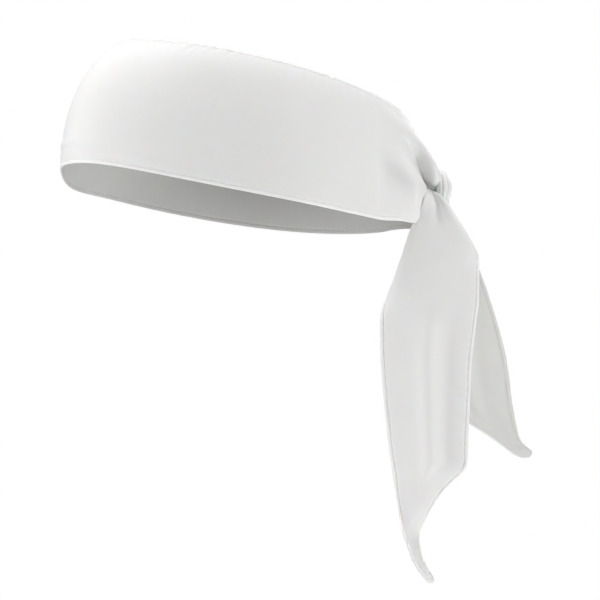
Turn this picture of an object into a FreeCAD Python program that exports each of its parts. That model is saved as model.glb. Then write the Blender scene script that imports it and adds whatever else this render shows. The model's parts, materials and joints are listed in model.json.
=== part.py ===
"""Tie-back sports headband, tied at the back of a head.  Millimetres, +Z up.

Forehead towards -X, knot towards +X, the wearer's left side towards -Y.  The origin is on the
vertical axis of the head opening, level with the lower edge of the band at the forehead.

The real thing is one long sash of two knit plies, joined and topstitched round the edge.  It is
held here as it hangs once tied: a wide band round the head, both its ends gathered into a reef
knot, and two pointed tails that hang from the knot.
"""
import FreeCAD
import Part
import math
import os

V = FreeCAD.Vector

# Cloth
ply = 0.7                   # one knit ply
ply_gap = 0.1               # air between the two plies
edge_width = 2.2            # turned edge, where the raw edges lie inside
edge_thick = 2.4            # over the turned edge
thread = 0.35               # topstitch thread
stitch_inset = 3.0          # topstitch line, in from the edge
clear = 0.12                # air between pieces of cloth that lie side by side

# Band: half of its lower and upper edge, from the forehead round to the knot.
# The other half is the mirror image in Y.
lower_edge = [(-100, 0, 0), (-95.5, 40, -2.5), (-80, 62, -6), (-50, 75, -12), (-10, 78, -21),
              (30, 70, -27.5), (62, 51, -31), (84, 31, -32), (96, 17, -29)]
upper_edge = [(-62, 0, 70.5), (-58, 25, 69.5), (-46, 40, 66.5), (-22, 51, 60), (8, 55, 52),
              (38, 50, 44.5), (64, 38, 37), (82, 25, 27), (94, 14, 12)]
crown_turn = 84.0           # degrees that the cloth turns over the crown, lower to upper edge
band_rows = 33
band_span = (0.02, 0.98)    # share of the edges' length that is still flat cloth

# Knot
knot_centre = V(110, 0, -11)
strand_radius = 2.95        # one tie, pulled tight inside the knot
# Middle line of one tie, from where it enters to the far end of its loop: towards the other
# side, up, and out of the weave, from the knot's middle.  The way back out runs below it.
tie_path = [(-16, 3.2, 2.8), (-10.5, 3.1, 4.0), (-5.5, 3.1, 0.6), (0, 6.2, -3.6),
            (5.5, 9.4, -0.6), (9.2, 7.0, 2.8), (11, 0, 4.6)]

# Where the band's end narrows into the knot: share of the way, half height and half depth
gather_rings = [(0.0, 19.0, 1.5), (0.35, 15.0, 2.4), (0.7, 9.0, 2.8), (1.0, 3.4, 2.5)]
gather_start = 1.2          # from the flat cloth's end to the gather
gather_end = 0.9            # from the gather to the tie
gather_rounding = 0.6       # how much thinner a gather is at its edges than in its middle

# Tails: front and back edge of each, from the knot to the pointed end, at rest
left_tail_front = [(103, -20, -18), (99, -18.5, -30), (93.5, -18, -42), (86, -18, -63),
                   (79, -17, -86), (78.5, -16, -109), (81, -16, -134), (84.5, -17, -158),
                   (88.5, -18, -182), (91, -20, -200), (95, -22, -216), (102, -20, -229)]
left_tail_back = [(111.5, -20, -18), (119, -18.5, -28), (127, -17, -39), (132.5, -16, -55),
                  (132, -16, -74), (129.5, -16, -94), (128.5, -17, -116), (128.5, -18, -138),
                  (126, -19, -163), (110, -17, -185), (102.5, -14, -206), (107, -14.5, -228)]
right_tail_front = [(108.5, 20, -18), (106, 18.5, -30), (103.5, 17, -42), (102.5, 18, -57),
                    (102.5, 18, -74), (103.5, 18, -91), (106, 18, -108), (112, 17, -128),
                    (127, 17, -143), (143, 18, -152), (155, 19, -161)]
right_tail_back = [(117, 20, -18), (122, 18.5, -29), (128, 17.5, -41), (135, 18, -57),
                   (141.5, 18.5, -75), (147, 19, -93), (150.5, 19, -109), (152.5, 19, -124),
                   (154.5, 19.5, -138), (157.5, 19.5, -148), (162, 19, -157)]
tail_rows = 27
tail_stitched = (0.06, 0.9)  # share of a tail's length that has room for both rows of topstitch
tail_swell = 5.0            # how far the middle of a tail stands out from its edges
full_swell_width = 30.0     # a narrower stretch of tail swells less
neck_radius = 3.2           # bunched cloth that a tail turns on, where it leaves the knot
neck_offset = 4.6           # from a tie's end out to the middle of its neck

columns = 7                 # points across the width of each piece of cloth
parts_folder = "parts"


def curve_through(points):
    """Smooth curve through points, whose parameter is the point's place in the list."""
    curve = Part.BSplineCurve()
    curve.interpolate(Points=[V(*p) for p in points], Parameters=[float(i) for i in range(len(points))])
    return curve


def mirrored(half):
    """Both halves of an edge in one list: left of the knot, forehead, right of the knot."""
    left = [(x, -y, z) for x, y, z in reversed(half[1:])]
    return left + list(half)


def between(low, high, count):
    return [low + (high - low) * i / (count - 1) for i in range(count)]


def band_surface():
    """Middle of the cloth for u (0 left end to 1 right end) and v (0 lower to 1 upper edge)."""
    lower = curve_through(mirrored(lower_edge))
    upper = curve_through(mirrored(upper_edge))
    last = len(mirrored(lower_edge)) - 1
    full = math.radians(crown_turn)

    def point(u, v):
        a = lower.value(u * last)
        b = upper.value(u * last)
        inward = (1 - math.cos(v * full)) / (1 - math.cos(full))
        rise = math.sin(v * full) / math.sin(full)
        return V(a.x + (b.x - a.x) * inward, a.y + (b.y - a.y) * inward, a.z + (b.z - a.z) * rise)

    return point


def tail_surface(front_edge, back_edge, side):
    """Middle of a tail's cloth for u (0 knot to 1 pointed end) and v (0 front to 1 back edge)."""
    front = curve_through(front_edge)
    back = curve_through(back_edge)
    last = len(front_edge) - 1

    def point(u, v):
        a = front.value(u * last)
        b = back.value(u * last)
        swell = tail_swell * math.sin(math.pi * v) * min(1.0, ((b - a).Length / full_swell_width) ** 2)
        return a + (b - a) * v + V(0, side * swell, 0)

    return point


def raised(surface, u, v, height):
    """Point that stands off the middle of the cloth."""
    step = 1e-4
    along = surface(min(1.0, u + step), v) - surface(max(0.0, u - step), v)
    across = surface(u, min(1.0, v + step)) - surface(u, max(0.0, v - step))
    return surface(u, v) + along.cross(across).normalize() * height


def inset_share(surface, u, edge, inset):
    """Share of v that lies between an edge (v 0 or 1) and a line that runs inset in from it."""
    step = 1e-4
    along = (surface(min(1.0, u + step), edge) - surface(max(0.0, u - step), edge)).normalize()
    across = (surface(u, abs(edge - step)) - surface(u, edge)) / step
    return inset / across.cross(along).Length


def skin_through(grid):
    skin = Part.BSplineSurface()
    skin.interpolate(grid)
    return skin


def closed_solid(inner, outer):
    """Solid between two skins of the same extent, closed by ruled faces along their rims."""
    faces = [inner.toShape(), outer.toShape()]
    for a, b in zip(rims(inner), rims(outer)):
        faces.append(Part.makeRuledSurface(a, b))
    shell = Part.makeShell(faces)
    shell.sewShape()
    solid = Part.makeSolid(shell)
    outside = solid.BoundBox.Center + V(0, 0, solid.BoundBox.DiagonalLength)
    if solid.isInside(outside, 1e-6, False):
        solid.reverse()
    return solid




def rims(skin):
    u0, u1, v0, v1 = skin.bounds()
    return [curve.toShape() for curve in (skin.uIso(u0), skin.uIso(u1), skin.vIso(v0), skin.vIso(v1))]


def strip(surface, rows, stretch, heights):
    """Solid that follows the cloth.

    stretch(u) is the strip's two edges at a row, and heights its two faces off the cloth's middle.
    """
    skins = []
    for height in heights:
        grid = []
        for u in rows:
            low, high = stretch(u)
            grid.append([raised(surface, u, v, height) for v in between(low, high, columns)])
        skins.append(skin_through(grid))
    return closed_solid(skins[0], skins[1])


def sash_pieces(surface, rows, stitched_rows, name, face, edges):
    """Outer ply, inner ply, turned edges and topstitching of one stretch of the sash.

    face is 1 where the surface's normal points outwards from the wearer, and -1 elsewhere.
    """
    half = ply_gap / 2
    thread_base = half + ply + clear

    def inside(u):
        inset = edge_width + clear
        return inset_share(surface, u, 0, inset), 1 - inset_share(surface, u, 1, inset)

    def beside(edge, start, end):
        def stretch(u):
            near = inset_share(surface, u, edge, start)
            far = inset_share(surface, u, edge, end)
            return abs(edge - near), abs(edge - far)
        return stretch

    pieces = {
        name + "_outer_ply": strip(surface, rows, inside, (face * half, face * (half + ply))),
        name + "_inner_ply": strip(surface, rows, inside, (-face * half, -face * (half + ply))),
    }
    for edge, label in edges:
        turned = beside(edge, 0.0, edge_width)
        stitched = beside(edge, stitch_inset, stitch_inset + thread)
        pieces[label + "_turned_edge"] = strip(surface, rows, turned, (-edge_thick / 2, edge_thick / 2))
        pieces[label + "_topstitch"] = Part.makeCompound([
            strip(surface, stitched_rows, stitched, (out * thread_base, out * (thread_base + thread)))
            for out in (1, -1)])
    return pieces


def band_pieces():
    rows = between(band_span[0], band_span[1], band_rows)
    edges = ((0, "band_lower"), (1, "band_upper"))
    return sash_pieces(band_surface(), rows, rows, "band", -1, edges)


def tail_pieces(name, side, front, back):
    surface = tail_surface(front, back, side)
    rows = between(0.0, 1.0, tail_rows)
    stitched_rows = between(tail_stitched[0], tail_stitched[1], tail_rows)
    edges = ((0, name + "_front"), (1, name + "_back"))
    return sash_pieces(surface, rows, stitched_rows, name, side, edges)


def tie_centres(side):
    """Middle line of one tie in the reef knot: in from its own side, round the other tie, out."""
    back = [(across, -up, out) for across, up, out in reversed(tie_path[:-1])]
    return [knot_centre + V(side * out, -side * across, up) for across, up, out in tie_path + back]


def knot_strand(side):
    centres = tie_centres(side)
    curve = curve_through([tuple(c) for c in centres])
    ring = Part.Circle(curve.value(0.0), curve.tangent(0.0)[0], strand_radius)
    return Part.Wire(curve.toShape()).makePipeShell([Part.Wire(ring.toShape())], True, False)


def end_gather(side):
    """Band's end, from its full height down to the bunched tie that enters the knot."""
    surface = band_surface()
    end = band_span[1] if side > 0 else band_span[0]
    up = surface(end, 1.0) - surface(end, 0.0)
    leaving = surface(end, 0.5) - surface(end - 1e-3 * side, 0.5)
    leaving = (leaving - up * (leaving.dot(up) / up.dot(up))).normalize()
    start = surface(end, 0.5) + leaving * gather_start
    entering = (tie_centres(side)[0] - start).normalize()
    finish = tie_centres(side)[0] - entering * (strand_radius + gather_end)
    grids = {-1: [], 1: []}
    for share, half_height, half_depth in gather_rings:
        facing = (leaving * (1 - share) + entering * share).normalize()
        tall = (up - facing * up.dot(facing)).normalize()
        middle = start + (finish - start) * share
        for out, grid in grids.items():
            grid.append([middle + tall * (half_height * t)
                         + facing.cross(tall) * (out * half_depth * (1 - gather_rounding * t * t))
                         for t in between(-1.0, 1.0, columns)])
    return closed_solid(skin_through(grids[-1]), skin_through(grids[1]))


def tail_neck(side):
    """Bunched cloth just outside the knot, round the point that the tail turns on."""
    return Part.makeSphere(neck_radius, tie_centres(side)[-1] + V(0, side * neck_offset, 0))


def main():
    os.makedirs(parts_folder, exist_ok=True)
    pieces = band_pieces()
    pieces.update(tail_pieces("left_tail", -1, left_tail_front, left_tail_back))
    pieces.update(tail_pieces("right_tail", 1, right_tail_front, right_tail_back))
    for side, name in ((-1, "left"), (1, "right")):
        pieces[name + "_knot_strand"] = knot_strand(side)
        pieces[name + "_end_gather"] = end_gather(side)
        pieces[name + "_tail_neck"] = tail_neck(side)
    for name, shape in pieces.items():
        shape.exportStep(os.path.join(parts_folder, name + ".step"))
        print(f"{name:28s} valid {shape.isValid()} solids {len(shape.Solids)} volume {shape.Volume:9.1f}")


main()
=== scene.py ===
import json
import math
import bmesh
import bpy
import numpy as np
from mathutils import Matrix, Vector


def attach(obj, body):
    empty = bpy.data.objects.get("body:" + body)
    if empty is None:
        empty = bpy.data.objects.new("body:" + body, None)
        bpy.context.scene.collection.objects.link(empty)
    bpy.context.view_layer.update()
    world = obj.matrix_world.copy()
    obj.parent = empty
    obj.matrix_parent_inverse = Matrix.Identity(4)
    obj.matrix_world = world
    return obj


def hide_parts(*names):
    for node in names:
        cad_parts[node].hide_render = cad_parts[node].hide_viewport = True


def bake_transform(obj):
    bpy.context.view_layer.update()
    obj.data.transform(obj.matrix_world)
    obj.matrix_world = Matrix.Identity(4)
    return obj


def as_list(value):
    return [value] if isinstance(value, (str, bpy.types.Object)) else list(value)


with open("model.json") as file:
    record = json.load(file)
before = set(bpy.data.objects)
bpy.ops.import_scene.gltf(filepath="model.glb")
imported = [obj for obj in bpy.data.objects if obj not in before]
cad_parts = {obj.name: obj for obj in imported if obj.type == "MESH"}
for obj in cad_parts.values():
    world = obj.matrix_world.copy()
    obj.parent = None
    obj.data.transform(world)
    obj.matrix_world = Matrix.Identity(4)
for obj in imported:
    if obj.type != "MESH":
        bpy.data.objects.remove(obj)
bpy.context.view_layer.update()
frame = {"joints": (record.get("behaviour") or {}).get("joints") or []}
print("frame loaded")

mm = 0.001
chance = np.random.default_rng(5)
fineShares = np.linspace(0, 1, 161)      # for measuring across one row of cloth
waySamples = 400                         # for measuring along a whole piece


# Curves and shapes that the cloth is laid out from. Lengths are in millimetres until a mesh is made.

def splineThrough(points, knots=None):
    # natural cubic spline; without knots its parameter is the point's place in the list
    p = np.array(points, float)
    n = len(p)
    x = np.arange(n, dtype=float) if knots is None else np.array(knots, float)
    gap = np.diff(x)
    matrix = np.eye(n)
    pull = np.zeros(p.shape)
    for i in range(1, n - 1):
        matrix[i, i - 1:i + 2] = gap[i - 1] / 6, (gap[i - 1] + gap[i]) / 3, gap[i] / 6
        pull[i] = (p[i + 1] - p[i]) / gap[i] - (p[i] - p[i - 1]) / gap[i - 1]
    bend = np.linalg.solve(matrix, pull)

    def at(t):
        t = np.asarray(t, float)
        i = np.clip(np.searchsorted(x, t, side="right") - 1, 0, n - 2)
        h = gap[i][..., None]
        f = (t - x[i])[..., None] / h
        g = 1 - f
        return g * p[i] + f * p[i + 1] + ((g ** 3 - g) * bend[i] + (f ** 3 - f) * bend[i + 1]) * h * h / 6

    return at


def lengthsAlong(points):
    return np.concatenate([[0], np.cumsum(np.linalg.norm(np.diff(points, axis=0), axis=1))])


def widthsAcross(grid):
    # distance from the first column to each column, row by row
    steps = np.linalg.norm(np.diff(grid, axis=1), axis=2)
    return np.concatenate([np.zeros((len(grid), 1)), np.cumsum(steps, axis=1)], axis=1)


def keyed(*keys):
    # value that eases from key to key, so each key is a crest, a valley or a level stretch
    x, y = np.array(keys, float).T

    def at(t):
        i = np.clip(np.searchsorted(x, t, side="right") - 1, 0, len(x) - 2)
        f = np.clip((t - x[i]) / (x[i + 1] - x[i]), 0, 1)
        return y[i] + (y[i + 1] - y[i]) * f * f * (3 - 2 * f)

    return at


def unit(v):
    return v / np.maximum(np.linalg.norm(v, axis=-1, keepdims=True), 1e-9)


def hump(x, middle, width):
    return np.exp(-((x - middle) / width) ** 2)


def ripple(along, lengths, height):
    # slow random wave: a few sines with seeded phases
    total = np.zeros(np.shape(along))
    for length in lengths:
        total += np.sin(along * 2 * math.pi / length + chance.uniform(0, 2 * math.pi))
    return height * total / len(lengths)


def normalsOf(grid):
    return unit(np.cross(np.gradient(grid, axis=0), np.gradient(grid, axis=1)))


# Cloth shells

sewnEdge = {
    "bead": 1.08,         # half thickness over the turned edge
    "beadMiddle": 0.9,    # in from the edge
    "stitchLine": 2.1,    # in from the edge
    "grooveHalf": 0.2,    # half thickness under the stitches
    "flatHalf": 0.75,     # half thickness of the two plies
    # columns in from each edge, close together where the bead and the groove need them
    "steps": [0, 0.05, 0.17, 0.36, 0.6, 0.9, 1.25, 1.55, 1.8, 2.1, 2.45, 2.8, 3.4, 4.6, 6.2, 7.4, 8.4, 9.4,
              10.6, 11.6, 12.6, 13.8, 15.4],
    "columnEvery": 2.4,   # between the two sewn edges
}
stitchColumn = sewnEdge["steps"].index(sewnEdge["stitchLine"])


def halfThickness(fromEdge):
    e = sewnEdge
    r = e["beadMiddle"]
    bead = e["bead"] * np.sqrt(np.clip(1 - ((fromEdge - r) / r) ** 2, 0, 1))
    line = e["stitchLine"]
    inward = keyed((r, e["bead"]), (line - 0.7, e["bead"] - 0.12), (line, e["grooveHalf"]),
                   (line + 0.75, e["flatHalf"] - 0.1), (line + 2.2, e["flatHalf"]))
    return np.where(fromEdge < r, bead, inward(fromEdge))


def layOut(surface, rows, widest):
    # grid of points: rows along the cloth, columns at set distances in from its two edges
    # surface(u, v) takes arrays; returns points and the distance in from each edge
    steps = np.array(sewnEdge["steps"], float)
    middle = int(round((widest - 2 * steps[-1]) / sewnEdge["columnEvery"]))
    # at nominal width, with the far edge's columns simply far away
    nominal = np.concatenate([steps, np.full(middle, steps[-1] + 20), np.full(len(steps), 99.0)])
    points = []
    for u in rows:
        line = surface(np.full(fineShares.shape, u), fineShares)
        run = lengthsAlong(line)
        width = run[-1]
        edge = steps * min(1.0, width / (2.2 * steps[-1]))
        between = np.linspace(edge[-1], width - edge[-1], middle + 2)[1:-1]
        d = np.concatenate([edge, between, width - edge[::-1]])
        v = np.interp(d, run, fineShares)
        points.append(surface(np.full(v.shape, u), v))
    return np.array(points), np.tile(nominal, (len(rows), 1)), np.tile(nominal[::-1], (len(rows), 1))


def newObject(name, verts, faces, materials, faceMaterials=None, uv=None):
    mesh = bpy.data.meshes.new(name)
    mesh.from_pydata([tuple(v) for v in np.asarray(verts) * mm], [], faces)
    for m in materials:
        mesh.materials.append(m)
    if faceMaterials is not None:
        mesh.polygons.foreach_set("material_index", np.array(faceMaterials, np.int32))
    if uv is not None:
        layer = mesh.uv_layers.new(name="clothLength")
        loopVerts = np.zeros(len(mesh.loops), np.int32)
        mesh.loops.foreach_get("vertex_index", loopVerts)
        layer.data.foreach_set("uv", (np.asarray(uv)[loopVerts] * mm).astype(np.float32).ravel())
    mesh.polygons.foreach_set("use_smooth", np.ones(len(mesh.polygons), bool))
    mesh.validate()
    shape = bmesh.new()
    shape.from_mesh(mesh)
    bmesh.ops.recalc_face_normals(shape, faces=shape.faces)
    shape.to_mesh(mesh)
    shape.free()
    obj = bpy.data.objects.new(name, mesh)
    bpy.context.scene.collection.objects.link(obj)
    return obj


def shellObject(name, grid, out, half, along, across, materials):
    # closed shell about a grid of middle points: outer face, then inner face, sharing the two rims
    # materials: outer face, inner face, turned edge
    rows, columns = half.shape
    outer = grid + out * half[..., None]
    inner = (grid - out * half[..., None])[:, 1:-1]
    verts = np.concatenate([outer, inner[:, ::-1]], axis=1)
    ring = verts.shape[1]
    distance = np.concatenate([across, across[:, 1:-1][:, ::-1]], axis=1)
    uv = np.stack([np.repeat(along[:, None], ring, axis=1), distance], axis=-1)
    faces, kinds = [], []
    for i in range(rows - 1):
        for j in range(ring):
            k = (j + 1) % ring
            faces.append((i * ring + j, i * ring + k, (i + 1) * ring + k, (i + 1) * ring + j))
            onOuter = j < columns - 1
            column = j if onOuter else ring - j
            atEdge = column < stitchColumn or column >= columns - stitchColumn - 1
            kinds.append(2 if atEdge and onOuter else 0 if onOuter else 1)
    faces.append(tuple(range(ring))[::-1])
    faces.append(tuple((rows - 1) * ring + j for j in range(ring)))
    kinds += [0, 0]
    return newObject(name, verts.reshape(-1, 3), faces, materials, kinds, uv.reshape(-1, 2))


# Topstitching: single lockstitches on both faces, sunk at both ends

stitching = {
    "length": 2.5,
    "pitch": 3.0,
    "radius": 0.2,
    "stand": 0.1,         # of the needle thread, above the outer face
    "bobbinStand": -0.12, # of the bobbin thread, above the inner face
    "sink": 0.22,         # at both ends of a stitch
    "sides": 6,
    "rings": [(0.0, 0.35), (0.12, 0.8), (0.32, 1.0), (0.5, 1.0),      # share of the stitch, share of
              (0.68, 1.0), (0.88, 0.8), (1.0, 0.35)],                 # the thread's radius there
}


def stitchesAlong(lines):
    # lines: (points, outward directions, stand) of each row
    s = stitching
    shares, thick = np.array(s["rings"]).T
    verts, faces = [], []
    m = s["sides"]
    turns = np.linspace(0, 2 * math.pi, m, endpoint=False)
    for points, out, stand in lines:
        run = lengthsAlong(points)
        for start in np.arange(0, run[-1] - s["pitch"], s["pitch"]):
            at = start + shares * s["length"]
            p = np.stack([np.interp(at, run, points[:, k]) for k in range(3)], axis=1)
            n = unit(np.stack([np.interp(at, run, out[:, k]) for k in range(3)], axis=1))
            lift = stand - s["sink"] * (2 * shares - 1) ** 4
            p = p + n * lift[:, None]
            side = unit(np.cross(np.gradient(p, axis=0), n))
            base = len(verts)
            for i in range(len(shares)):
                for t in turns:
                    r = s["radius"] * thick[i]
                    verts.append(p[i] + side[i] * (r * math.cos(t)) + n[i] * (r * math.sin(t)))
            for i in range(len(shares) - 1):
                for j in range(m):
                    k = (j + 1) % m
                    faces.append((base + i * m + j, base + i * m + k,
                                  base + (i + 1) * m + k, base + (i + 1) * m + j))
            last = base + (len(shares) - 1) * m
            faces.append(tuple(base + j for j in range(m))[::-1])
            faces.append(tuple(last + j for j in range(m)))
    return verts, faces


# Materials

def linear(hexText):
    # sRGB hex to the linear colour that a shader wants
    parts = [int(hexText[i:i + 2], 16) / 255 for i in (1, 3, 5)]
    return tuple(c / 12.92 if c <= 0.04045 else ((c + 0.055) / 1.055) ** 2.4 for c in parts) + (1.0,)


def addNode(tree, kind, settings=None, links=None):
    # a node with its settings (sockets by name or number, else properties) and incoming links
    node = tree.nodes.new(kind)
    for key, value in (settings or {}).items():
        if isinstance(key, int) or key in node.inputs:
            node.inputs[key].default_value = value
        else:
            setattr(node, key, value)
    for key, (source, output) in (links or {}).items():
        tree.links.new(source.outputs[output], node.inputs[key])
    return node


def newMaterial(name):
    material = bpy.data.materials.new(name)
    material.use_nodes = True
    material.node_tree.nodes.clear()
    return material, material.node_tree


knitLook = {
    "wale": 1.1,          # real 0.6 mm, drawn coarser so that it shows
    "course": 0.9,        # real 0.5 mm, drawn coarser so that it shows
    "loopDepth": 0.05,    # mm
    "slubSize": 5.0,      # soft unevenness of the yarn, mm
    "cloudSize": 38.0,    # slow change of tone over the cloth, mm
}


def knitMaterial(name, tone, cloudTone, roughness, sheen, loopStrength):
    # Polyester interlock, knitted from textured yarn and heat set: matt, even, with a faint bloom
    # where it turns away from the eye, and loops that only show from close by.
    k = knitLook
    material, tree = newMaterial(name)
    uv = addNode(tree, "ShaderNodeUVMap", {"uv_map": "clothLength"})
    split = addNode(tree, "ShaderNodeSeparateXYZ", None, {0: (uv, 0)})
    # chevron loops: the course's phase climbs up each leg of the loop
    wale = addNode(tree, "ShaderNodeMath", {"operation": "MULTIPLY", 1: 1 / (k["wale"] * mm)},
                   {0: (split, 1)})
    leg = addNode(tree, "ShaderNodeMath", {"operation": "PINGPONG", 1: 0.5}, {0: (wale, 0)})
    course = addNode(tree, "ShaderNodeMath", {"operation": "MULTIPLY_ADD", 1: 1 / (k["course"] * mm)},
                     {0: (split, 0), 2: (leg, 0)})
    phase = addNode(tree, "ShaderNodeMath", {"operation": "MULTIPLY", 1: 2 * math.pi}, {0: (course, 0)})
    wave = addNode(tree, "ShaderNodeMath", {"operation": "SINE"}, {0: (phase, 0)})
    crown = addNode(tree, "ShaderNodeMath", {"operation": "PINGPONG", 1: 0.25}, {0: (leg, 0)})
    loops = addNode(tree, "ShaderNodeMath", {"operation": "MULTIPLY_ADD", 1: 0.35},
                    {0: (wave, 0), 2: (crown, 0)})
    slub = addNode(tree, "ShaderNodeTexNoise", {"Scale": 1 / (k["slubSize"] * mm), "Detail": 3.0},
                   {"Vector": (uv, 0)})
    height = addNode(tree, "ShaderNodeMath", {"operation": "MULTIPLY_ADD", 1: 0.6},
                     {0: (slub, 0), 2: (loops, 0)})
    bump = addNode(tree, "ShaderNodeBump", {"Strength": loopStrength, "Distance": k["loopDepth"] * mm},
                   {"Height": (height, 0)})
    cloud = addNode(tree, "ShaderNodeTexNoise", {"Scale": 1 / (k["cloudSize"] * mm), "Detail": 4.0},
                    {"Vector": (uv, 0)})
    colour = addNode(tree, "ShaderNodeMix", {"data_type": "RGBA"}, {0: (cloud, 0)})
    colour.inputs[6].default_value = linear(tone)
    colour.inputs[7].default_value = linear(cloudTone)
    shine = addNode(tree, "ShaderNodeMapRange", {"To Min": roughness - 0.05, "To Max": roughness + 0.05},
                    {"Value": (slub, 0)})
    shader = addNode(tree, "ShaderNodeBsdfPrincipled",
                     {"IOR": 1.53, "Specular IOR Level": 0.35, "Sheen Weight": sheen, "Sheen Roughness": 0.45,
                      "Subsurface Weight": 0.12, "Subsurface Scale": 0.8 * mm},
                     {"Base Color": (colour, 2), "Roughness": (shine, 0), "Normal": (bump, 0)})
    addNode(tree, "ShaderNodeOutputMaterial", None, {"Surface": (shader, 0)})
    return material


threadLook = {
    "bandScale": 100.0,   # of the wave: bands about 3.6 mm apart
    "bandDepth": 0.05,    # mm
    "shadowTone": "#E4E4E2",
    "tone": "#F1F1F0",
}


def threadMaterial(name):
    # Spun polyester sewing thread: a little glossier than the knit, with a tone that changes slowly from
    # stitch to stitch and is darker, a painted shade, where the bands' bump is low. The twist of its plies is
    # too fine to draw.
    k = threadLook
    material, tree = newMaterial(name)
    place = addNode(tree, "ShaderNodeTexCoord")
    bands = addNode(tree, "ShaderNodeTexWave",
                    {"Scale": k["bandScale"], "Distortion": 1.5, "bands_direction": "DIAGONAL"},
                    {"Vector": (place, "Object")})
    bump = addNode(tree, "ShaderNodeBump", {"Strength": 0.5, "Distance": k["bandDepth"] * mm},
                   {"Height": (bands, 1)})
    # painted shade: the tint takes the darker tone where the bands' bump is low
    tint = addNode(tree, "ShaderNodeMix", {"data_type": "RGBA"}, {0: (bands, 1)})
    tint.inputs[6].default_value = linear(k["shadowTone"])
    tint.inputs[7].default_value = linear(k["tone"])
    shader = addNode(tree, "ShaderNodeBsdfPrincipled", {"IOR": 1.53, "Roughness": 0.5, "Sheen Weight": 0.1},
                     {"Base Color": (tint, 2), "Normal": (bump, 0)})
    addNode(tree, "ShaderNodeOutputMaterial", None, {"Surface": (shader, 0)})
    return material


outerKnit = knitMaterial("polyesterInterlockKnitted", "#F1F1F0", "#ECECEB", 0.68, 0.25, 0.5)
# painted shade: the band's lining is a darker grey than its outer knit, standing in for the shade inside the
# band
bandLiningShaded = knitMaterial("polyesterBandLiningPaintedShade", "#CFCFCD", "#C8C8C6", 0.8, 0.1, 0.6)
# painted shade: the tails' inner faces are a slightly greyer knit than their outer faces
tailLiningShaded = knitMaterial("polyesterTailLiningPaintedShade", "#E3E3E1", "#DDDDDB", 0.74, 0.2, 0.6)
# the turned edges are brighter than the outer knit: partly the two folded plies, partly a painted highlight
# along the rims
turnedEdgeHighlight = knitMaterial("polyesterKnitTurnedEdgePaintedHighlight", "#FCFCFB", "#F8F8F7", 0.64, 0.25, 0.35)
sewingThread = threadMaterial("polyesterThreadSpun")
print("materials made")


# The band round the head, with its gathered ends

band = {
    # each edge from the forehead round to the flat cloth's end; the upper is the same on both sides
    "lowerLeft": [(-100.3, 0, -2.3), (-95.8, -40, -4.2), (-80, -62, -7.0), (-50, -74.5, -13.7),
                  (-10, -77, -22.1), (30, -69, -28.9), (62, -51, -33.2), (84, -31, -34.9), (96, -17, -33.5)],
    "lowerRight": [(-100.3, 0, -2.3), (-96.6, 39, -5.2), (-80, 62, -7.1), (-50, 74.5, -12.6),
                   (-10, 77, -19.9), (30, 69, -26.1), (62, 51, -29.9), (84, 31, -31.2), (96, 17, -29.8)],
    "upper": [(-61.8, 0, 69.8), (-57.9, -25, 68.5), (-45.5, -40, 65.8), (-22, -51, 61.1),
              (8, -55, 54.3), (38, -50, 47.5), (63, -38, 40.8), (80, -27, 34.6), (91, -18, 27.2)],
    "turn": 84,           # degrees that the cloth turns over the crown
    "flatEnd": 1.35,      # where the gather starts, as a place in the lists from their end
    "rowEvery": 1.0,
    "gatherRows": 56,
    "widest": 88,
    # gather on the left: share of the cloth's width from the lower edge, then the way
    # from the flat cloth into the hole beside the knot
    "gather": [
        (0.0, (92.4, -24.5, -33.9), (98.3, -19.5, -33.5), (100.2, -14, -27), (104.5, -8, -16)),
        (0.18, (92, -30, -20.6), (99.4, -24.4, -26.4), (101.4, -16.5, -21), (104, -7, -14)),
        (0.34, (90.6, -33.4, -4.8), (98.8, -29.8, -9.6), (103, -20, -12.8), (104, -6, -12.5)),
        (0.45, (91.4, -25.5, 8.6), (100.2, -10.8, -3.8), (103.8, -5, -9.6), (105, -2, -10)),
        (0.58, (92.6, -24.5, 13.2), (102.6, -14.6, -0.2), (107.6, -12.6, -10.6), (108.2, -5, -13)),
        (0.76, (93, -24.5, 19.2), (103, -20, 8.4), (110.6, -16.5, -4), (112, -8, -8.5)),
        (0.88, (92, -19.6, 23.4), (99, -13.8, 13.2), (108, -11, 0.5), (111, -6.5, -4.5)),
        (1.0, (92.4, -18.4, 27), (97.6, -11.5, 18.4), (103, -8, 8), (108.5, -5, 0))],
    "rightHem": 3.2,      # how much higher the lower edge ends on the right
    # small folds of each gather across the cloth, left and right, and how they grow towards the hole
    "folds": [keyed((0, 0), (0.1, 0.2), (0.17, -0.6), (0.27, 0.3), (0.42, -0.3), (0.52, 0.2), (0.62, -0.5),
                    (0.7, 0.3), (0.84, -0.2), (0.92, -0.6), (1, 0.2)),
              keyed((0, 0), (0.12, -0.4), (0.22, 0.6), (0.32, -0.3), (0.44, 0.2), (0.56, -0.5),
                    (0.72, 0.4), (0.86, -0.3), (1, 0.2))],
    "foldHeight": keyed((0, 0), (0.25, 0.1), (0.65, 0.9), (0.85, 0.8), (1, 0.3)),
    "squeeze": keyed((0, 1), (0.7, 1), (1, 0.45)),      # of the thickness, in each gather
    # the seam allowance inside the lower edge shows as soft ridges beside the forehead:
    # how far in from the edge, height, half width, and where along the band
    "ridges": [(keyed((0.3, 7.6), (0.46, 12.4)), 0.95, 1.5, (0.42, 0.075)),
               (keyed((0.26, 4.6), (0.4, 7.2)), 0.6, 1.3, (0.35, 0.06))],
    "puckerLengths": [6.3, 8.1, 11.7],
    "puckerHeight": 0.15,
    "puckerShift": 37,    # rows between a pucker at the lower edge and its like at the crown
    "lowerPucker": (2.5, 5.0),          # how far in from the edge, half width
    "crownPucker": (3.5, 6.5),
    # where the crown edge is drawn in more: share along, reach, how much more
    "drawnIn": [(0.33, 0.06, 2.6), (0.16, 0.03, 2.0), (0.7, 0.08, 1.8)],
    "swayLengths": [83, 57, 131],
    "swayHeight": 0.35,
}


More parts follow.
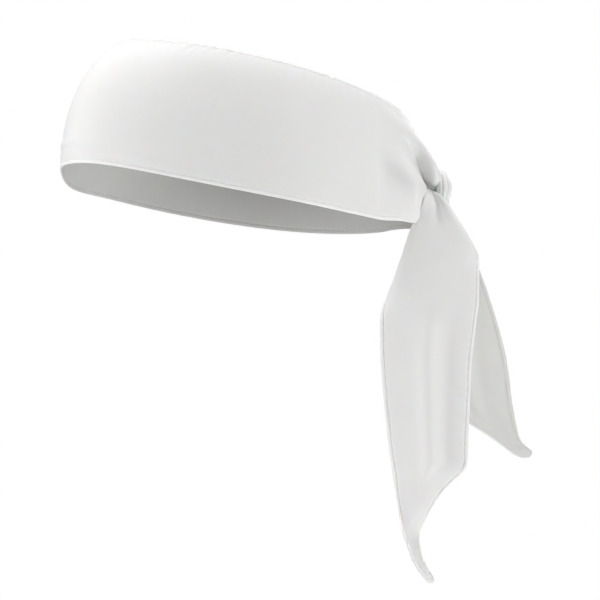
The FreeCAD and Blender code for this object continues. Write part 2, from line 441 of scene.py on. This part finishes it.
def bandSurface(b):
    lower = splineThrough(b["lowerLeft"][:0:-1] + b["lowerRight"])
    upper = splineThrough(b["upper"][:0:-1] + [(x, -y, z) for x, y, z in b["upper"]])
    last = 2 * len(b["upper"]) - 2
    full = math.radians(b["turn"])
    share = [row[0] for row in b["gather"]]
    stations = [splineThrough([row[k] for row in b["gather"]], share)
                for k in range(1, len(b["gather"][0]))]

    def flat(t, v):
        low, high = lower(t), upper(t)
        inward = ((1 - np.cos(v * full)) / (1 - math.cos(full)))[..., None]
        rise = (np.sin(v * full) / math.sin(full))[..., None]
        plan = low + (high - low) * inward
        tall = low + (high - low) * rise
        return np.concatenate([plan[..., :2], tall[..., 2:]], axis=-1)

    def gathered(side, shares, v):
        # rows of points at the given shares of the way into the hole
        end = b["flatEnd"] if side < 0 else last - b["flatEnd"]
        way = [flat(np.full(v.shape, end - side * back), v) for back in (0.6, 0.4, 0.2, 0)]
        for k, station in enumerate(stations):
            p = station(v)
            if side > 0:
                p = p * (1, -1, 1)
                p[:, 2] += b["rightHem"] * (1 - v) ** 3 * (1, 1, 0.5, 0)[k]
            way.append(p)
        way = np.array(way)
        columns = []
        for j in range(len(v)):
            run = lengthsAlong(way[:, j])
            columns.append(splineThrough(way[:, j], run)(run[3] + shares * (run[-1] - run[3])))
        return np.array(columns).transpose(1, 0, 2)

    return flat, gathered, last


def makeBand(b):
    flat, gathered, last = bandSurface(b)
    # rows evenly spaced over the flat stretch
    t = np.linspace(b["flatEnd"], last - b["flatEnd"], waySamples)
    run = lengthsAlong(flat(t, np.full(t.shape, 0.5)))
    places = np.interp(np.linspace(0, run[-1], int(run[-1] / b["rowEvery"])), run, t)
    shares = np.linspace(0, 1, b["gatherRows"] + 1)[1:]
    grid, low, high = layOut(flat, places, b["widest"])
    # the gathers keep the columns of the flat row that they start from
    ends = []
    for side, row in ((-1, 0), (1, -1)):
        length = lengthsAlong(flat(np.full(fineShares.shape, places[row]), fineShares))
        run = lengthsAlong(grid[row])
        v = np.interp(run * length[-1] / run[-1], length, fineShares)
        ends.append(gathered(side, shares, v))
        if side < 0:
            folds = [fold(v) for fold in b["folds"]]
    grid = np.concatenate([ends[0][::-1], grid, ends[1]])
    low = np.repeat(low[:1], len(grid), axis=0)
    high = np.repeat(high[:1], len(grid), axis=0)
    along = lengthsAlong(grid[:, grid.shape[1] // 2])
    across = widthsAcross(grid)
    out = -normalsOf(grid)
    # small folds between the large ones of the gathers
    n = b["gatherRows"]
    depth = np.zeros(grid.shape[:2])
    depth[:n] = b["foldHeight"](shares)[::-1, None] * folds[0]
    depth[-n:] = b["foldHeight"](shares)[:, None] * folds[1]
    grid = grid + out * depth[..., None]
    # soft ridges over the seam allowance, puckers along both seams, and a slow sway of the whole cloth
    flatShare = keyed((0, 0), (0.07, 1), (0.93, 1), (1, 0))(np.linspace(0, 1, len(grid)))
    part = along / along[-1]
    ridge = sum(tall * (hump(part, *reach) * flatShare)[:, None] * hump(low, place(part)[:, None], wide)
                for place, tall, wide, reach in b["ridges"])
    pucker = ripple(along, b["puckerLengths"], b["puckerHeight"]) * flatShare
    drawn = sum(amount * hump(part, place, wide) for place, wide, amount in b["drawnIn"]) + 1
    crown = (np.roll(pucker, b["puckerShift"]) * drawn)[:, None] * hump(high, *b["crownPucker"])
    seam = pucker[:, None] * hump(low, *b["lowerPucker"]) + crown
    sway = ripple(along, b["swayLengths"], b["swayHeight"])[:, None]
    sway = sway * np.sin(np.linspace(0, math.pi, grid.shape[1]))
    grid = grid + out * (ridge + seam + sway * flatShare[:, None])[..., None]
    out = -normalsOf(grid)
    half = np.minimum(halfThickness(low), halfThickness(high))
    squeeze = np.ones(len(grid))
    squeeze[:n] = b["squeeze"](shares)[::-1]
    squeeze[-n:] = b["squeeze"](shares)
    half = half * squeeze[:, None]
    obj = shellObject("band_cloth", grid, out, half, along, across, [outerKnit, bandLiningShaded, turnedEdgeHighlight])
    return obj, grid, out, half, n


def seamStitches(name, grid, out, half, rows):
    # stitches on both faces along the two sewn edges, as one object for each edge
    made = []
    for edge, j in (("low", stitchColumn), ("high", grid.shape[1] - 1 - stitchColumn)):
        lines = []
        for face, stand in ((1, stitching["stand"]), (-1, stitching["bobbinStand"])):
            direction = out[rows, j] * face
            lines.append((grid[rows, j] + direction * half[rows, j][:, None], direction, stand))
        verts, faces = stitchesAlong(lines)
        made.append(newObject(name[edge], verts, faces, [sewingThread]))
    return made


bandCloth, bandGrid, bandOut, bandHalf, gatherRows = makeBand(band)
bandRows = slice(gatherRows // 2, len(bandGrid) - gatherRows // 2)
bandStitches = seamStitches({"low": "band_lower_stitches", "high": "band_upper_stitches"},
                            bandGrid, bandOut, bandHalf, bandRows)
print("band made", len(bandCloth.data.vertices))


# Tails: each row is the cloth's front and back edge, from the hole beside the knot down

leftTail = {
    "name": "left_tail_cloth",
    "side": -1,
    "rows": [
        ((105.5, -8, -14), (109.5, -8, -16)), ((103.6, -15.5, -14.6), (111, -15.5, -17)),
        ((102.4, -18.3, -22), (116, -18.5, -23)), ((98.9, -18.8, -30), (120.8, -18.5, -30.8)),
        ((95.2, -18.8, -38.5), (127.1, -18, -40.6)), ((91.8, -18.4, -49), (132.4, -17, -51)),
        ((86.6, -18, -64), (133.5, -16.5, -61)), ((81.6, -17.5, -76.5), (133.2, -16.3, -78)),
        ((78.9, -17.2, -83.4), (132.2, -16.2, -86)), ((78, -17, -93), (131, -16, -96)),
        ((78.4, -16.3, -112), (129, -16.3, -112)), ((80.1, -16, -133.4), (128.1, -17, -132)),
        ((81.9, -16.5, -152), (127, -18, -152)), ((83.5, -17, -165), (126.7, -18.8, -165)),
        ((84.2, -17.2, -169.5), (126, -19, -170)), ((84.8, -17.4, -173.5), (123.6, -19, -173.5)),
        ((85.5, -17.6, -178), (118, -18.6, -178.6)), ((86.6, -18.5, -185.5), (110.6, -17.4, -186.8)),
        ((88, -19.5, -194), (105.4, -15.5, -194.8)), ((90, -21, -204.5), (100, -12.5, -205.5)),
        ((93.2, -21.5, -214.5), (99.7, -12.5, -214.4)), ((97.3, -20.5, -224.5), (102, -13.5, -223)),
        ((103.2, -18.8, -232.8), (106.6, -15.5, -230.6)), ((105.4, -18, -235.6), (108.6, -15.5, -233.6))],
    "curlFront": keyed((0, 0.3), (0.08, 1), (0.24, 1), (0.4, 0)),     # how far each edge rolls to the back
    "curlBack": keyed((0, 0.3), (0.08, 1), (0.2, 1), (0.27, 0)),
    "pleats": keyed((0, 0), (0.14, 0.7), (0.34, 0.2), (0.5, -1.2), (0.64, 0.1), (0.8, 1.1), (1, -0.4)),
    "pleatHeight": keyed((0, 0.8), (0.06, 1.9), (0.11, 0.7), (0.2, 0)),
    "swell": 5.0,
    # long soft ridges and valleys: share across, half width, height, and where down the tail
    "ridges": [(0.5, 0.1, 3.0, keyed((0.32, 0), (0.42, 1), (0.6, 1), (0.72, 0))),
               (0.74, 0.1, -0.9, keyed((0.24, 0), (0.42, 1), (0.55, 1), (0.66, 0))),
               (0.2, 0.12, -0.5, keyed((0.34, 0), (0.45, 1), (0.55, 0.5), (0.7, 0)))],
    "widest": 58,
}
rightTail = {
    "name": "right_tail_cloth",
    "side": 1,
    "rows": [
        ((110.5, 9, -13), (114.5, 9, -15)), ((109, 15.5, -15), (116, 15.5, -17)),
        ((106.5, 18, -22), (119.5, 18, -22)),
        ((104.8, 18.5, -32), (123.5, 18.5, -31)), ((103.2, 18, -45), (130, 17.8, -43.5)),
        ((102.4, 18, -60), (136, 18, -58)), ((102.2, 18, -75), (141.2, 18.5, -73.5)),
        ((103.4, 18, -91), (146.2, 19, -90)), ((106, 18, -107.5), (150, 19, -107)),
        ((109.5, 17.5, -120.6), (151.8, 19, -121)), ((114.5, 17, -130.6), (153.2, 19.2, -132)),
        ((120.5, 17, -137), (154.9, 19.4, -141.6)), ((129, 17, -142.6), (156.4, 19.6, -148.4)),
        ((138, 17.2, -148.2), (158.2, 20, -152.4)), ((147, 17.5, -154.6), (160.4, 21.5, -154.6)),
        ((153.6, 17.8, -159.4), (163, 22, -156.6)), ((159.6, 18.5, -162.6), (165.2, 21.5, -159.2))],
    "curlFront": keyed((0, 0.3), (0.08, 1), (0.3, 1), (0.42, 0)),
    "curlBack": keyed((0, 0.3), (0.08, 1), (0.2, 1), (0.3, 0)),
    "pleats": keyed((0, 0), (0.2, 1.0), (0.4, -0.9), (0.6, 0.8), (0.8, -0.7), (0.92, 0.6), (1, -0.4)),
    "pleatHeight": keyed((0, 0.8), (0.08, 1.8), (0.14, 2.0), (0.35, 0)),
    "swell": 4.0,
    "ridges": [(0.45, 0.13, -3.6, keyed((0.38, 0), (0.5, 1), (0.62, 0.6), (0.76, 0))),
               (0.35, 0.1, 1.2, keyed((0.3, 0), (0.5, 1), (0.8, 0)))],
    "widest": 50,
}
tailSewing = {
    "rowEvery": 1.0,
    "puckerLengths": [5.7, 7.9, 12.3],
    "puckerHeight": 0.16,
    "rollShare": 0.2,     # of the width, at each edge, that can roll to the back
    "rollTurn": 2.2,      # radians, where it rolls fully
    "rollSlack": 1.15,    # cloth taken up by a rolled edge, against the same edge lying flat
    "swellWidth": 30,     # a tail much narrower than this lies nearly flat across
    "tipLength": 4.0,     # over which the tip is rounded off
    "puckerShift": 23,    # rows between a pucker on the front edge and its like on the back edge
    "edgePucker": (2.5, 5),
    "stitchFree": (24, 14),     # rows without stitches at the knot and at the tip
}


def makeTail(tail):
    c = tailSewing
    side = tail["side"]
    front = splineThrough([row[0] for row in tail["rows"]])
    back = splineThrough([row[1] for row in tail["rows"]])
    last = len(tail["rows"]) - 1
    q = c["rollShare"]
    t = np.linspace(0, last, waySamples)
    downRun = lengthsAlong((front(t) + back(t)) / 2)

    def surface(u, v):
        a, b = front(u), back(u)
        down = u / last
        toTip = np.clip((downRun[-1] - np.interp(u, t, downRun)) / c["tipLength"], 0, 1)
        rounding = np.sqrt(np.clip(1 - (1 - toTip) ** 2, 0.02, 1))[..., None]
        middle = (a + b) / 2
        a, b = middle + (a - middle) * rounding, middle + (b - middle) * rounding
        width = np.linalg.norm(b - a, axis=-1)
        strip = c["rollSlack"] * q * width
        inPlane = np.zeros(v.shape)
        behind = np.zeros(v.shape)
        reach = []
        for curl, edge in ((tail["curlFront"], v), (tail["curlBack"], 1 - v)):
            turn = np.maximum(curl(down) * c["rollTurn"], 0.02)
            radius = strip / turn
            reach.append(radius * np.sin(np.minimum(turn, math.pi / 2)))
            angle = np.clip(1 - edge / q, 0, 1) * turn
            past = reach[-1] - radius * np.sin(angle)
            inPlane = np.where(edge < q, past if len(reach) == 1 else width - past, inPlane)
            behind += np.where(edge < q, radius * (1 - np.cos(angle)), 0)
        share = np.clip((v - q) / (1 - 2 * q), 0, 1)
        centre = reach[0] + share * (width - reach[0] - reach[1])
        inPlane = np.where((v >= q) & (v <= 1 - q), centre, inPlane)
        p = a + unit(b - a) * inPlane[..., None]
        fullness = 1 - np.exp(-(width / c["swellWidth"]) ** 2)
        out = tail["swell"] * np.sin(math.pi * v) * fullness - behind
        out += tail["pleats"](v) * tail["pleatHeight"](down) * np.clip(width / 16, 0.25, 1)
        for place, wide, high, fade in tail["ridges"]:
            out += high * hump(v, place, wide) * fade(down)
        p[..., 1] += side * out
        return p

    run = lengthsAlong(surface(t, np.full(t.shape, 0.5)))
    rows = np.interp(np.linspace(0, run[-1], int(run[-1] / c["rowEvery"])), run, t)
    grid, low, high = layOut(surface, rows, tail["widest"])
    along = lengthsAlong(grid[:, grid.shape[1] // 2])
    part = along / along[-1]
    across = widthsAcross(grid)
    out = -normalsOf(grid) * side
    pucker = ripple(along, c["puckerLengths"], c["puckerHeight"])
    pucker *= keyed((0, 0), (0.15, 0), (0.3, 1), (0.9, 1), (1, 0.3))(part)
    backPucker = np.roll(pucker, c["puckerShift"])
    seams = pucker[:, None] * hump(low, *c["edgePucker"]) + backPucker[:, None] * hump(high, *c["edgePucker"])
    grid = grid + out * seams[..., None]
    out = -normalsOf(grid) * side
    half = np.minimum(halfThickness(low), halfThickness(high))
    tip = np.sqrt(np.clip(1 - (1 - np.clip((along[-1] - along) / c["tipLength"], 0, 1)) ** 2, 0.06, 1))
    half = half * (keyed((0, 0.5), (0.06, 0.8), (0.12, 1), (1, 1))(part) * tip)[:, None]
    obj = shellObject(tail["name"], grid, out, half, along, across, [outerKnit, tailLiningShaded, turnedEdgeHighlight])
    return obj, grid, out, half


tails = {}
for key, tail in (("left", leftTail), ("right", rightTail)):
    cloth, tailGrid, tailOut, tailHalf = makeTail(tail)
    names = {"low": key + "_tail_front_stitches", "high": key + "_tail_back_stitches"}
    free = tailSewing["stitchFree"]
    stitches = seamStitches(names, tailGrid, tailOut, tailHalf, slice(free[0], len(tailGrid) - free[1]))
    tails[key] = (cloth, stitches)
print("tails made")


# Reef knot: the middle line of one tie from where it enters to the far end of its loop,
# towards the other side, up, and out of the weave, from the knot's middle

knot = {
    "middle": (110, 0, -13),
    "path": [(-8.2, 3.4, 1.6), (-4.6, 3.8, 0.2), (0, 5.6, -3.2),
             (5.5, 7.4, -0.6), (9.2, 5.6, 2.6), (11.2, 0, 4.2)],
    "wide": 4.5,
    "deep": 4.3,
    "pleats": 9,
    "pleatDepth": 0.2,
    "twist": 0.5,
    "slack": 0.05,        # uneven fullness round the strand
    "endTaper": 0.45,     # how much thinner a strand is where it enters and leaves
    "rings": 160,
    "around": 108,
}


def makeTie(name, side, k):
    there = k["path"]
    back = [(across, -up, out) for across, up, out in there[-2::-1]]
    centres = [np.array(k["middle"]) + (side * out, -side * across, up)
               for across, up, out in there + back]
    line = splineThrough(centres)
    t = np.linspace(0, len(centres) - 1, k["rings"])
    p = line(t)
    ahead = unit(np.gradient(p, axis=0))
    # carry one direction along the line without turning it about the line
    up = [unit(np.cross(ahead[0], (0, 1, 0.2)))]
    for i in range(1, len(p)):
        kept = up[-1] - ahead[i] * np.dot(up[-1], ahead[i])
        up.append(unit(kept))
    up = np.array(up)
    beside = np.cross(ahead, up)
    verts = []
    phase = chance.uniform(0, 2 * math.pi)
    turn = np.linspace(0, 2 * math.pi, k["around"], endpoint=False)
    for i in range(k["rings"]):
        share = i / (k["rings"] - 1)
        twisted = turn + k["twist"] * math.sin(3 * share * math.pi) + phase
        pleat = np.abs(np.sin(twisted * k["pleats"] / 2)) ** 0.6
        slack = 1 + k["slack"] * np.sin(2 * turn + 9 * share + phase)
        r = (1 - k["pleatDepth"] * (1 - pleat)) * slack
        end = 1 - k["endTaper"] * np.exp(-((share * (1 - share) * 4) / 0.12) ** 2)
        ring = (np.outer(np.cos(turn) * r * k["deep"] * end, up[i])
                + np.outer(np.sin(turn) * r * k["wide"] * end, beside[i]))
        verts.append(p[i] + ring)
    verts = np.concatenate(verts)
    n = k["around"]
    faces = [(i * n + j, i * n + (j + 1) % n, (i + 1) * n + (j + 1) % n, (i + 1) * n + j)
             for i in range(k["rings"] - 1) for j in range(n)]
    faces.append(tuple(range(n))[::-1])
    faces.append(tuple((k["rings"] - 1) * n + j for j in range(n)))
    run = lengthsAlong(p)
    girth = np.linspace(0, 2 * math.pi * k["wide"], n)
    uv = np.stack([np.repeat(run, n), np.tile(girth, k["rings"])], axis=-1)
    return newObject(name, verts, faces, [outerKnit], None, uv)


leftTie = makeTie("left_knot_tie", -1, knot)
rightTie = makeTie("right_knot_tie", 1, knot)
print("knot made")


# What each piece stands for; the band's pieces move with the band, the tails' pieces are baked in place

for piece in [bandCloth, leftTie, rightTie] + bandStitches:
    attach(piece, "band")
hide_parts("band_outer_ply", "band_inner_ply", "band_lower_turned_edge",
            "band_upper_turned_edge", "left_end_gather", "right_end_gather")
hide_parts("left_knot_strand")
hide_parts("right_knot_strand")
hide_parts("band_lower_topstitch")
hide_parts("band_upper_topstitch")
for key, (cloth, stitches) in tails.items():
    pivot = next(j for j in frame["joints"] if j["name"] == key + "_tail_swing")["pos_m"]
    for piece in [cloth] + stitches:
        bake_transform(piece)
        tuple(pivot)
    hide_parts(key + "_tail_outer_ply", key + "_tail_inner_ply", key + "_tail_front_turned_edge",
                key + "_tail_back_turned_edge", key + "_tail_neck")
    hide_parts(key + "_tail_front_topstitch")
    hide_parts(key + "_tail_back_topstitch")
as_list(tails["left"][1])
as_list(tails["right"][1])


# Studio: pale floor far below, soft lights, and a long lens that looks slightly up at the band

studio = {
    "floorDrop": 1.6,
    "floorSize": 7.0,
    "worldLight": 0.06,
    "target": (0.0336, 0.0, -0.0746),
    "elevation": -7.5,
    "distance": 3.0,
    "widthSeen": 0.336,
    # soft boxes that all look at the middle of the band: place, size, watts
    "lights": {
        "left_key": ((-1.9, -0.3, 0.25), (1.0, 1.0), 29),
        "left_top": ((-1.3, -0.6, 1.3), (1.0, 1.0), 4.7),
        "right_top": ((1.2, -0.6, 1.4), (1.2, 1.2), 8.7),
        "low_right": ((1.5, -0.9, -1.0), (1.0, 1.0), 14.8),
        "front_fill": ((0.5, -2.2, -0.5), (1.2, 1.2), 15.8),
        "top_light": ((0.2, 0.2, 2.0), (1.4, 1.2), 32),
        "back_light": ((0.8, 2.0, 0.5), (1.4, 1.2), 12),
    },
}


def makeFloor(s):
    segments = 96
    verts = [(0, 0, 0)]
    for i in range(segments):
        turn = 2 * math.pi * i / segments
        verts.append((math.cos(turn) * s["floorSize"], math.sin(turn) * s["floorSize"], 0))
    faces = [(0, 1 + i, 1 + (i + 1) % segments) for i in range(segments)]
    mesh = bpy.data.meshes.new("studio_floor")
    mesh.from_pydata(verts, [], faces)
    floor = bpy.data.objects.new("studio_floor", mesh)
    floor.location = (0, 0, -s["floorDrop"])
    bpy.context.scene.collection.objects.link(floor)
    material, tree = newMaterial("matt_white_vinyl_floor")
    grain = addNode(tree, "ShaderNodeTexNoise", {"Scale": 30.0})
    tone = addNode(tree, "ShaderNodeMix", {"data_type": "RGBA"}, {0: (grain, 0)})
    tone.inputs[6].default_value = linear("#F4F4F4")
    tone.inputs[7].default_value = linear("#F1F1F1")
    lit = addNode(tree, "ShaderNodeBsdfPrincipled", {"Roughness": 0.9}, {"Base Color": (tone, 2)})
    # evenly pale to look at, without lighting the band from below
    seen = addNode(tree, "ShaderNodeEmission", {"Strength": 0.9}, {"Color": (tone, 2)})
    path = addNode(tree, "ShaderNodeLightPath")
    both = addNode(tree, "ShaderNodeMixShader", None,
                   {0: (path, "Is Camera Ray"), 1: (lit, 0), 2: (seen, 0)})
    addNode(tree, "ShaderNodeOutputMaterial", None, {"Surface": (both, 0)})
    mesh.materials.append(material)


def makeWorld(s):
    # white to look at, softer as a light
    world = bpy.data.worlds.new("studio")
    bpy.context.scene.world = world
    world.use_nodes = True
    tree = world.node_tree
    tree.nodes.clear()
    path = addNode(tree, "ShaderNodeLightPath")
    lightPart = addNode(tree, "ShaderNodeBackground", {"Color": (1, 1, 1, 1), "Strength": s["worldLight"]})
    seenPart = addNode(tree, "ShaderNodeBackground", {"Color": (1, 1, 1, 1), "Strength": 1.0})
    both = addNode(tree, "ShaderNodeMixShader", None,
                   {0: (path, "Is Camera Ray"), 1: (lightPart, 0), 2: (seenPart, 0)})
    addNode(tree, "ShaderNodeOutputWorld", None, {"Surface": (both, 0)})


def softbox(name, place, size, power):
    light = bpy.data.lights.new(name, "AREA")
    light.shape = "RECTANGLE"
    light.size, light.size_y = size
    light.energy = power
    lamp = bpy.data.objects.new(name, light)
    lamp.location = place
    lamp.rotation_euler = (-Vector(place)).to_track_quat("-Z", "Y").to_euler()
    bpy.context.scene.collection.objects.link(lamp)


def makeCamera(s):
    lift = math.radians(s["elevation"])
    back = Vector((0, -math.cos(lift), math.sin(lift)))
    camera = bpy.data.cameras.new("camera")
    camera.sensor_width = 36
    camera.lens = camera.sensor_width * s["distance"] / s["widthSeen"]
    camera.clip_end = 50
    holder = bpy.data.objects.new("camera", camera)
    holder.location = Vector(s["target"]) + back * s["distance"]
    holder.rotation_euler = (-back).to_track_quat("-Z", "Y").to_euler()
    bpy.context.scene.collection.objects.link(holder)
    bpy.context.scene.camera = holder


makeFloor(studio)
makeWorld(studio)
for name, (place, size, power) in studio["lights"].items():
    softbox(name, place, size, power)
makeCamera(studio)
bpy.context.scene.view_settings.view_transform = "Standard"
print("studio made")
